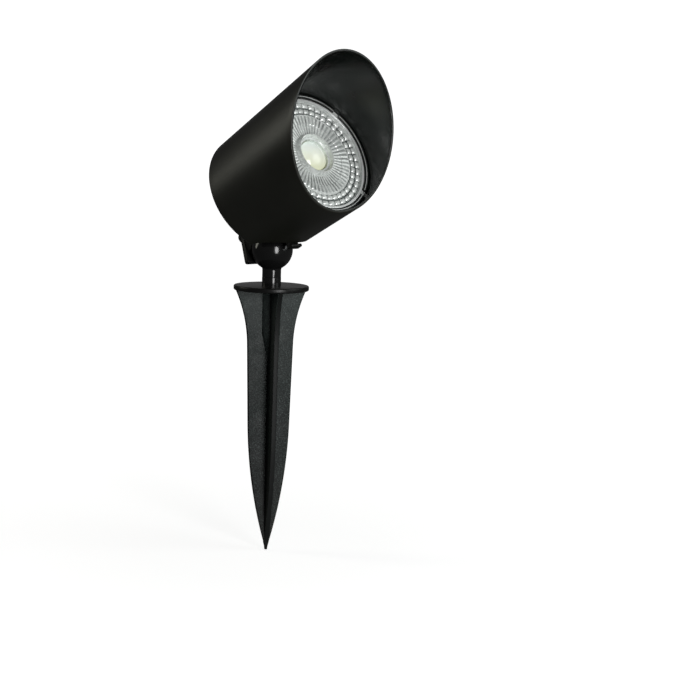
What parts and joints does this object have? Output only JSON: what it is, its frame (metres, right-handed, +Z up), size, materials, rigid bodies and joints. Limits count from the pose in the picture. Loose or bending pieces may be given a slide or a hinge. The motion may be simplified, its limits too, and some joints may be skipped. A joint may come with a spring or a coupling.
{
  "type": "garden spotlight on a ground spike",
  "caption": "Black garden spotlight: a tapered tube with a slant-cut hood over a recessed lens, on a ball joint and a flanged cross-blade ground spike.",
  "frame": {"origin": "centre of the flange's underside, at the ground line, on the stem's axis", "axes": "+Z up along the spike and stem, +X the way the beam points at rest, +Y to the left of the beam"},
  "size_m": [0.0708, 0.0574, 0.2142],
  "materials": {
    "shell_black": "smooth satin black moulded plastic",
    "bracket_black": "satin black moulded plastic",
    "stem_black": "glossy black moulded plastic",
    "spike_black": "fine spark-textured charcoal glass-filled plastic",
    "gland_nylon": "satin black nylon",
    "liner_nylon": "natural nylon",
    "ring_black": "black plastic",
    "bezel_silver": "white plastic rim",
    "lens_clear": "clear moulded acrylic",
    "sink_aluminium": "die-cast aluminium, bright inside",
    "board_white": "white solder mask",
    "board_green": "green solder mask",
    "led_phosphor": "yellow phosphor under silicone",
    "component_dark": "dark moulded components",
    "terminal_nylon": "white nylon",
    "standoff_brass": "plain brass",
    "screw_steel": "zinc-plated steel",
    "screw_black": "blackened steel",
    "lead_red": "red insulation",
    "lead_black": "black insulation",
    "seal_rubber": "black silicone"
  },
  "bodies": {
    "spike": {"ground_spike": "spike_black"},
    "stem": {"ball_stem": "stem_black", "stem_clip": "screw_steel"},
    "liner": {"ball_liner": "liner_nylon"},
    "lamp_head": {"housing_shell": "shell_black", "module_heatsink": "sink_aluminium", "led_board": "board_white", "led_chip": "led_phosphor", "board_screws": "screw_steel", "lead_positive": "lead_red", "lead_negative": "lead_black", "module_lens": "lens_clear", "lens_bezel": "bezel_silver", "front_seal": "seal_rubber", "retaining_ring": "ring_black", "driver_board": "board_green", "driver_components": "component_dark", "driver_screws": "screw_steel", "board_standoffs": "standoff_brass", "terminal_block": "terminal_nylon", "terminal_screws": "screw_steel", "gland_seal": "seal_rubber", "gland_body": "gland_nylon", "gland_bush": "seal_rubber", "gland_nut": "gland_nylon", "gland_locknut": "gland_nylon", "socket_block": "bracket_black", "block_screws": "screw_steel", "clamp_plate": "bracket_black", "clamp_screws": "screw_black"}
  },
  "joints": [
    {"name": "swivel", "type": "hinge", "parent": "spike", "child": "stem", "pos_m": [0, 0, 0], "axis": [0, 0, 1], "continuous": true},
    {"name": "tilt", "type": "hinge", "parent": "stem", "child": "liner", "pos_m": [0, 0, 0.0172], "axis": [0, -1, 0], "range_deg": [-43.8, 16.2]},
    {"name": "lean", "type": "hinge", "parent": "liner", "child": "lamp_head", "pos_m": [0, 0, 0.0172], "axis": [0.8763, 0, 0.4818], "range_deg": [-15, 15]}
  ]
}
